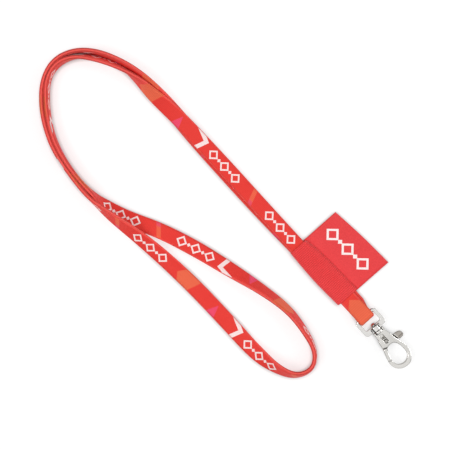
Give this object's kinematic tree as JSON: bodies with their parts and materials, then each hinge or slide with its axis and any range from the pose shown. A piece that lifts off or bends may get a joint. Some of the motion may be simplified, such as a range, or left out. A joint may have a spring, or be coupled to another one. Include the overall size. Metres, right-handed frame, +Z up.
{
  "type": "lanyard with swivel snap hook",
  "caption": "Flat woven neck strap laid in a loop, joined in a ribbed sleeve with a sewn flag label, ending in a folded tab with a swivel snap hook.",
  "frame": {"origin": "middle of the sleeve's underside, on the surface that the lanyard lies on", "axes": "+X along the sleeve towards the hook's tip, +Y towards the flag label, +Z up from the surface"},
  "size_m": [0.278, 0.1081, 0.013],
  "materials": {
    "strap_webbing": "smooth printed polyester webbing with fine cross ribs",
    "sleeve_ribbing": "ribbed woven band",
    "label_satin": "printed satin weave",
    "thread": "sewing thread",
    "bright_nickel": "polished nickel plate",
    "hook_nickel": "nickel-plated zinc casting",
    "steel_small": "plain steel"
  },
  "bodies": {
    "strap": {"neck_strap": "strap_webbing", "hook_tab": "strap_webbing", "sleeve_wrap": "sleeve_ribbing", "flag_label": "label_satin", "sleeve_seam": "thread", "strap_bar_tack": "thread"},
    "eye": {"swivel_eye": "bright_nickel"},
    "hook": {"hook_body": "hook_nickel", "swivel_rivet": "bright_nickel", "gate_pin": "steel_small", "gate_spring": "steel_small"},
    "gate": {"gate_lever": "hook_nickel"}
  },
  "joints": [
    {"name": "eye_swing", "type": "hinge", "parent": "strap", "child": "eye", "pos_m": [0.0365, 0.0004, 0.0038], "axis": [0, 1, 0], "range_deg": [-120, 120]},
    {"name": "hook_swivel", "type": "hinge", "parent": "eye", "child": "hook", "pos_m": [0.045, 0.0004, 0.0038], "axis": [1, 0, 0], "continuous": true},
    {"name": "gate_open", "type": "hinge", "parent": "hook", "child": "gate", "pos_m": [0.0557, -0.0002, 0.0038], "axis": [0, 0, 1], "range_deg": [0, 28], "stiffness_Nm_per_rad": 0.02, "springref_deg": -17.19, "deforming": ["gate_spring"]}
  ]
}
